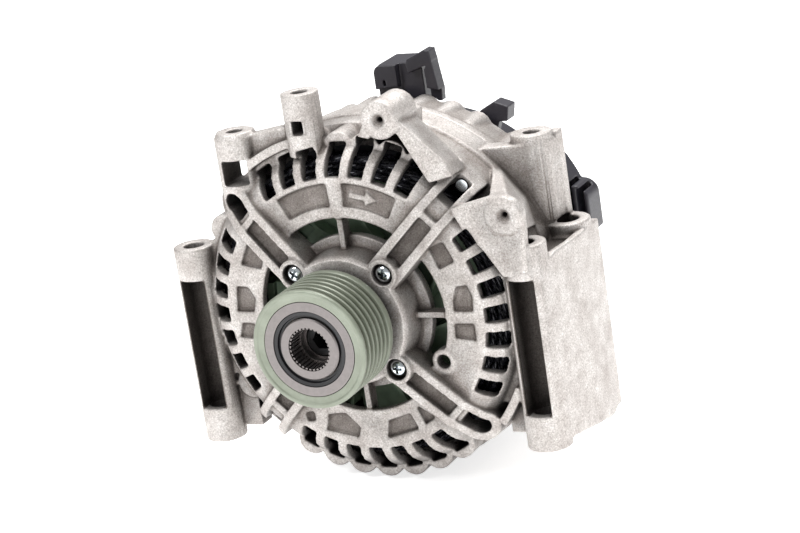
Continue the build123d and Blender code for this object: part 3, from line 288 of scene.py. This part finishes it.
materials = {
    "cast_aluminium": cast_aluminium(),
    "pulley_green": green_coat(),
    "bearing_steel": plain_metal("ground_steel", (0.235, 0.215, 0.21), 0.36, 0.85),
    "dark_steel": plain_metal("oiled_steel", (0.035, 0.035, 0.036), 0.34, 0.7),
    "zinc_steel": plain_metal("bright_zinc", (0.80, 0.86, 0.90), 0.16),
    "rotor_green": plain_metal("green_rotor_resin", (0.21, 0.29, 0.20), 0.45, 0.2, 90.0, 0.25),
    "stator_iron": plain_metal("stator_plates", (0.05, 0.05, 0.055), 0.5),
    "copper_enamel": plain_metal("varnished_winding", (0.018, 0.018, 0.024), 0.25, 0.3, 700.0, 0.5, 0.4),
    "copper": plain_metal("bare_copper", (0.72, 0.38, 0.22), 0.3),
    "black_plastic": plastic("black_moulding", (0.024, 0.022, 0.030), 0.42, 0.1),
    "black_rubber": plastic("black_rubber", (0.008, 0.008, 0.010), 0.42, 0.1),
    "cage_plastic": plastic("cage_moulding", (0.28, 0.20, 0.12), 0.5),
    "carbon": plastic("brush_carbon", (0.03, 0.03, 0.03), 0.5),
}


def paint(obj, mat):
    obj.data.materials.clear()
    obj.data.materials.append(mat)


for part in frame["record"]["subparts"]:
    paint(nodes[part["node"]], materials[part["material_slot"]])
paint(nodes["rotor_shaft"], materials["dark_steel"])


# ------------------------------------------------------------------- pieces
def place_piece(name, mesh, body, slot, *stands_for):
    piece = bpy.data.objects.new(name, mesh)
    bpy.context.scene.collection.objects.link(piece)
    paint(piece, materials[slot])
    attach(piece, body)
    if stands_for:
        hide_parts(*stands_for)
    return piece


def baked(piece):
    graph = bpy.context.evaluated_depsgraph_get()
    mesh = bpy.data.meshes.new_from_object(piece.evaluated_get(graph))
    bpy.data.objects.remove(piece)
    return mesh


def measure_relief(mesh, rounds=24, full=0.0011):
    """How far each point sits below (1) or above (0) the smoothed surface."""
    count = len(mesh.vertices)
    place = np.empty(count * 3)
    mesh.vertices.foreach_get("co", place)
    place = place.reshape(-1, 3)
    facing = np.empty(count * 3)
    mesh.vertices.foreach_get("normal", facing)
    facing = facing.reshape(-1, 3)
    ends = np.empty(len(mesh.edges) * 2, dtype=np.int64)
    mesh.edges.foreach_get("vertices", ends)
    a, b = ends.reshape(-1, 2).T
    near = np.bincount(a, minlength=count) + np.bincount(b, minlength=count)
    near = np.maximum(near, 1)
    smooth = place.copy()
    for _ in range(rounds):
        total = np.empty_like(smooth)
        for k in range(3):
            total[:, k] = np.bincount(a, smooth[b, k], count) + np.bincount(b, smooth[a, k], count)
        smooth = 0.3 * smooth + 0.7 * total / near[:, None]
    depth = ((smooth - place) * facing).sum(axis=1)
    value = np.clip(0.5 + 0.5 * depth / full, 0.0, 1.0)
    layer = mesh.attributes.new("relief", "FLOAT", "POINT")
    layer.data.foreach_set("value", value.astype(np.float32))


def prism(shape, outline, low, high, upright=True):
    """A closed block over an outline in mm: (across, depth) if upright, else (across, up)."""
    if upright:
        places = [[(x, y, z) for x, y in outline] for z in (low, high)]
    else:
        places = [[(x, y, z) for x, z in outline] for y in (low, high)]
    near, far = [[shape.verts.new((x * MM, y * MM + FACE, z * MM)) for x, y, z in ring] for ring in places]
    faces = [shape.faces.new(near), shape.faces.new(far)]
    for i in range(len(near)):
        j = (i + 1) % len(near)
        faces.append(shape.faces.new((near[i], near[j], far[j], far[i])))
    bmesh.ops.recalc_face_normals(shape, faces=faces)


def small_cast_marks(shape):
    """The narrow cheeks of the top boss window and the raised arrow of the turning sense."""
    for side in (-1, 1):
        cheek = []
        for degrees in range(-70, 11, 10):
            a = math.radians(degrees)
            cheek.append((BOSS_X + side * CHEEK_R * math.cos(a), BOSS_Y + CHEEK_R * math.sin(a)))
        cheek.append((BOSS_X + side * WINDOW_HALF, BOSS_Y + 1.2))
        prism(shape, cheek, 74.6, 82.2)
    turn = math.radians(14)
    arrow = [(-6.2, -1.1), (1.0, -1.1), (1.0, -2.9), (6.2, 0), (1.0, 2.9), (1.0, 1.1), (-6.2, 1.1)]
    arrow = [(x, z + 51.0) for x, z in arrow]
    across = math.cos(turn)
    along = math.sin(turn)
    arrow = [(x * across + z * along, z * across - x * along) for x, z in arrow]
    prism(shape, arrow, 0.35, 2.4, False)


def rounded_skin(node, name, voxel, rounds, most, slot, extra=None):
    """A copy of a solid with its edges eased as casting or moulding leaves them."""
    source = nodes[node]
    mesh = source.data.copy()
    shape = bmesh.new()
    shape.from_mesh(mesh)
    bmesh.ops.remove_doubles(shape, verts=shape.verts, dist=0.00001)
    if extra is not None:
        extra(shape)
    shape.to_mesh(mesh)
    shape.free()
    work = bpy.data.objects.new("work", mesh)
    bpy.context.scene.collection.objects.link(work)
    cells = work.modifiers.new("cells", "REMESH")
    cells.mode = "VOXEL"
    cells.voxel_size = voxel
    ease = work.modifiers.new("ease", "SMOOTH")
    ease.factor = 0.5
    ease.iterations = rounds
    mesh = baked(work)
    faces = len(mesh.polygons) * 2
    if faces > most:
        work = bpy.data.objects.new("work", mesh)
        bpy.context.scene.collection.objects.link(work)
        thin = work.modifiers.new("thin", "DECIMATE")
        thin.ratio = most / faces
        mesh = baked(work)
    mesh.shade_smooth()
    measure_relief(mesh)
    body = source.parent.name if source.parent else "body:housing"
    return place_piece(name, mesh, body.split(":")[-1], slot, node)


# node, name, cell size, smoothing rounds, most triangles, material
rounded_skin("front_bracket", "front_casting", 0.00055, 3, 190000, "cast_aluminium", small_cast_marks)
rounded_skin("rear_bracket", "rear_casting", 0.0007, 3, 150000, "cast_aluminium")
rounded_skin("rear_cover", "back_cover_moulding", 0.0006, 3, 120000, "black_plastic")
rounded_skin("plug_socket", "plug_moulding", 0.0003, 4, 60000, "black_plastic")
rounded_skin("harness_clip", "clip_moulding", 0.0003, 4, 16000, "black_plastic")


def lathe(points, steps=160):
    """Spins (radius, depth) points, given in mm, about the shaft."""
    shape = bmesh.new()
    line = [shape.verts.new((r * MM, y * MM + FACE, 0.0)) for r, y in points]
    edges = [shape.edges.new((line[i], line[(i + 1) % len(line)])) for i in range(len(line))]
    bmesh.ops.spin(shape, geom=line + edges, cent=(0, 0, 0), axis=(0, 1, 0), angle=2 * math.pi, steps=steps,
                   use_merge=True, use_duplicate=False)
    bmesh.ops.remove_doubles(shape, verts=shape.verts, dist=0.000002)
    bmesh.ops.recalc_face_normals(shape, faces=shape.faces)
    mesh = bpy.data.meshes.new("turned")
    shape.to_mesh(mesh)
    shape.free()
    mesh.shade_smooth()
    mesh.set_sharp_from_angle(angle=math.radians(38))
    return mesh


def belt_pulley():
    low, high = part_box("pulley_rim")
    outer = high[0] / MM
    front = (low[1] - FACE) / MM
    back = (high[1] - FACE) / MM
    root = outer - GROOVE_DEPTH
    # a shallow step round the nose, then the rounded front edge
    points = [
        (RIM_BORE, front + 1.1),
        (RIM_BORE + 0.25, front + 0.55),
        (RIM_BORE + 0.9, front + 0.42),
        (22.3, front + 0.42),
        (22.7, front + 0.3),
        (22.95, front + 0.05),
        (23.35, front),
        (outer - 0.75, front),
        (outer - 0.3, front + 0.14),
        (outer - 0.05, front + 0.5),
        (outer, front + 0.85),
    ]
    half = [(root, 0.0), (root + 0.1, 0.28), (root + 0.45, 0.50), (outer - 0.14, 1.18), (outer, 1.40)]
    for k in range(GROOVES):
        y = front + FIRST_GROOVE + GROOVE_PITCH * k
        points += [(r, y - d) for r, d in reversed(half[1:])]
        points += [(r, y + d) for r, d in half]
    points += [(outer, back - 1.0), (outer - 0.3, back - 0.3), (outer - 1.0, back), (RIM_BORE, back)]
    mesh = lathe(points, 192)
    return place_piece("belt_pulley", mesh, "pulley", "pulley_green", "pulley_rim")


belt_pulley()


def screw_head(top):
    """One turned screw, its crown at depth top, on the shaft's line."""
    shape = bmesh.new()
    line = [shape.verts.new((r * MM, top + d * MM, 0.0)) for r, d in (
        (0.0, -0.25),
        (1.6, -0.12),
        (2.7, 0.25),
        (3.35, 0.75),
        (HEAD_R, 1.3),
        (HEAD_R, 2.6),
        (SHANK_R, 2.6),
        (SHANK_R, SHANK_END),
        (0.0, SHANK_END),
    )]
    edges = [shape.edges.new((line[i], line[i + 1])) for i in range(len(line) - 1)]
    bmesh.ops.spin(shape, geom=line + edges, cent=(0, 0, 0), axis=(0, 1, 0), angle=2 * math.pi, steps=48,
                   use_merge=True, use_duplicate=False)
    bmesh.ops.remove_doubles(shape, verts=shape.verts, dist=0.000001)
    bmesh.ops.recalc_face_normals(shape, faces=shape.faces)
    mesh = bpy.data.meshes.new("head")
    shape.to_mesh(mesh)
    shape.free()
    return mesh


def cross_cutter(top):
    """Two crossed wedges, wide at the crown and narrower below it."""
    shape = bmesh.new()
    for wide, tall in ((CROSS_WIDE, CROSS_LONG), (CROSS_LONG, CROSS_WIDE)):
        bar = bmesh.ops.create_cone(shape, cap_ends=True, segments=4, radius1=1.0, radius2=0.62, depth=1.0)
        verts = bar["verts"]
        quarter = Matrix.Rotation(math.pi / 4, 3, "Z")
        facing = Matrix.Rotation(-math.pi / 2, 3, "X")
        bmesh.ops.rotate(shape, verts=verts, cent=(0, 0, 0), matrix=quarter)
        bmesh.ops.rotate(shape, verts=verts, cent=(0, 0, 0), matrix=facing)
        bmesh.ops.scale(shape, verts=verts, vec=(wide * MM * 1.414, 3.2 * MM, tall * MM * 1.414))
        bmesh.ops.translate(shape, verts=verts, vec=(0, top + 0.7 * MM, 0))
    mesh = bpy.data.meshes.new("cross")
    shape.to_mesh(mesh)
    shape.free()
    return mesh


def cross_head_screws():
    """Domed zinc heads with a deep cross, sunk in the round seats about the hub."""
    low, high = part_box("retainer_screws")
    top = low[1]
    spread = (high[0] - low[0]) / 2 - HEAD_R * MM
    whole = bmesh.new()
    for sx in (-1, 1):
        for sz in (-1, 1):
            work = bpy.data.objects.new("work", screw_head(top))
            bpy.context.scene.collection.objects.link(work)
            cutter = bpy.data.objects.new("cutter", cross_cutter(top))
            bpy.context.scene.collection.objects.link(cutter)
            cut = work.modifiers.new("cross", "BOOLEAN")
            cut.operation = "DIFFERENCE"
            cut.solver = "EXACT"
            cut.use_self = True
            cut.object = cutter
            head = baked(work)
            bpy.data.objects.remove(cutter)
            turn = Matrix.Rotation(math.radians(20 + 35 * sx + 50 * sz), 4, "Y")
            head.transform(Matrix.Translation((sx * spread, 0, sz * spread)) @ turn)
            whole.from_mesh(head)
    mesh = bpy.data.meshes.new("screws")
    whole.to_mesh(mesh)
    whole.free()
    mesh.shade_smooth()
    mesh.set_sharp_from_angle(angle=math.radians(32))
    return place_piece("cross_head_screws", mesh, "housing", "zinc_steel", "retainer_screws")


cross_head_screws()


def winding_ends():
    """Varnished wires that loop from slot to slot at each end of the stator."""
    # degrees along the loop, share of the rise, and shift outward in mm
    steps = (
        (0.0, 0.0, 0.0),
        (2.0, 0.45, 0.4),
        (8.0, 0.86, 0.9),
        (15.0, 1.0, 0.0),
        (22.0, 0.86, -0.9),
        (28.0, 0.45, -0.4),
        (30.0, 0.0, 0.0),
    )
    low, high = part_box("stator_winding")
    core_low, core_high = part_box("stator_core")
    curve = bpy.data.curves.new("turns", "CURVE")
    curve.dimensions = "3D"
    curve.bevel_depth = WIRE_R
    curve.bevel_resolution = 1
    curve.resolution_u = 3
    for end, root in ((low[1], core_low[1]), (high[1], core_high[1])):
        side = 1 if end < root else -1
        for layer, (radius, lift) in enumerate(((0.0628, 0.2), (0.0600, 1.4), (0.0570, 0.0))):
            for k in range(TURNS):
                turn = 2 * math.pi * (k + 0.33 * layer) / TURNS
                spline = curve.splines.new("NURBS")
                spline.points.add(len(steps) - 1)
                for point, (sweep, rise, shift) in zip(spline.points, steps):
                    angle = turn + math.radians(sweep)
                    r = radius + shift * MM
                    tip = end + side * (0.0011 + lift * MM)
                    y = root + (tip - root) * rise
                    point.co = (r * math.cos(angle), y, r * math.sin(angle), 1.0)
                spline.order_u = 3
                spline.use_endpoint_u = True
    work = bpy.data.objects.new("work", curve)
    bpy.context.scene.collection.objects.link(work)
    mesh = baked(work)
    shape = bmesh.new()
    shape.from_mesh(mesh)
    backing = ((low[1] + 0.0035, core_low[1] - 0.00005), (core_high[1] + 0.00005, high[1] - 0.0035))
    inner = 0.0560
    outer = 0.0632
    for near, far in backing:
        corners = ((inner, near), (outer, near), (outer, far), (inner, far))
        line = [shape.verts.new((r, y, 0.0)) for r, y in corners]
        edges = [shape.edges.new((line[i], line[(i + 1) % 4])) for i in range(4)]
        bmesh.ops.spin(shape, geom=line + edges, cent=(0, 0, 0), axis=(0, 1, 0), angle=2 * math.pi, steps=72,
                       use_merge=True, use_duplicate=False)
    bmesh.ops.recalc_face_normals(shape, faces=shape.faces)
    shape.to_mesh(mesh)
    shape.free()
    mesh.shade_smooth()
    return place_piece("winding_ends", mesh, "housing", "copper_enamel", "stator_winding")


winding_ends()


# ------------------------------------------------------------ camera, light
def aim_camera():
    azimuth = math.radians(27.786)
    elevation = math.radians(16.687)
    roll = math.radians(8.869)
    level = math.cos(elevation)
    back = Vector((math.sin(azimuth) * level, -math.cos(azimuth) * level, math.sin(elevation)))
    right = (-back).cross(Vector((0, 0, 1))).normalized()
    up = right.cross(-back)
    level_right = right * math.cos(roll) - up * math.sin(roll)
    level_up = up * math.cos(roll) + right * math.sin(roll)
    target = Vector((0.02462, 0.0282, 0.02092))
    place = target + back * 1.0134
    matrix = Matrix((level_right, level_up, back)).transposed().to_4x4()
    matrix.translation = place
    data = bpy.data.cameras.new("camera")
    data.sensor_width = 36.0
    data.lens = 114.2
    data.clip_start = 0.05
    camera = bpy.data.objects.new("camera", data)
    bpy.context.scene.collection.objects.link(camera)
    camera.matrix_world = matrix
    bpy.context.scene.camera = camera


def soft_light(name, place, size, power, target=(0.0, 0.03, 0.0)):
    data = bpy.data.lights.new(name, "AREA")
    data.size = size
    data.energy = power
    lamp = bpy.data.objects.new(name, data)
    bpy.context.scene.collection.objects.link(lamp)
    lamp.location = place
    lamp.rotation_euler = (Vector(target) - Vector(place)).to_track_quat("-Z", "Y").to_euler()


def studio():
    world = bpy.data.worlds.new("studio_world")
    bpy.context.scene.world = world
    world.use_nodes = True
    sky = world.node_tree.nodes["Background"]
    sky.inputs["Color"].default_value = (1.0, 1.0, 1.0, 1.0)
    sky.inputs["Strength"].default_value = 0.36
    bpy.context.scene.view_settings.view_transform = "Standard"
    soft_light("key", (-0.40, -0.80, 0.90), 0.42, 8.5)
    soft_light("fill", (0.95, -0.45, 0.25), 0.6, 0.4)
    soft_light("rim", (0.1, 0.45, 1.0), 0.6, 13.0)
    low = cad_box[0][2]
    mesh = bpy.data.meshes.new("floor")
    shape = bmesh.new()
    bmesh.ops.create_grid(shape, x_segments=1, y_segments=1, size=6.0)
    shape.to_mesh(mesh)
    shape.free()
    floor = bpy.data.objects.new("floor", mesh)
    bpy.context.scene.collection.objects.link(floor)
    floor.location = (0, 0, low - 0.0005)
    mat, tree, shader = new_material("pale_floor")
    shader.inputs["Base Color"].default_value = (0.95, 0.95, 0.95, 1.0)
    shader.inputs["Roughness"].default_value = 0.95
    shader.inputs["Emission Color"].default_value = (1.0, 1.0, 1.0, 1.0)
    shader.inputs["Emission Strength"].default_value = 0.72
    floor.data.materials.append(mat)


aim_camera()
studio()
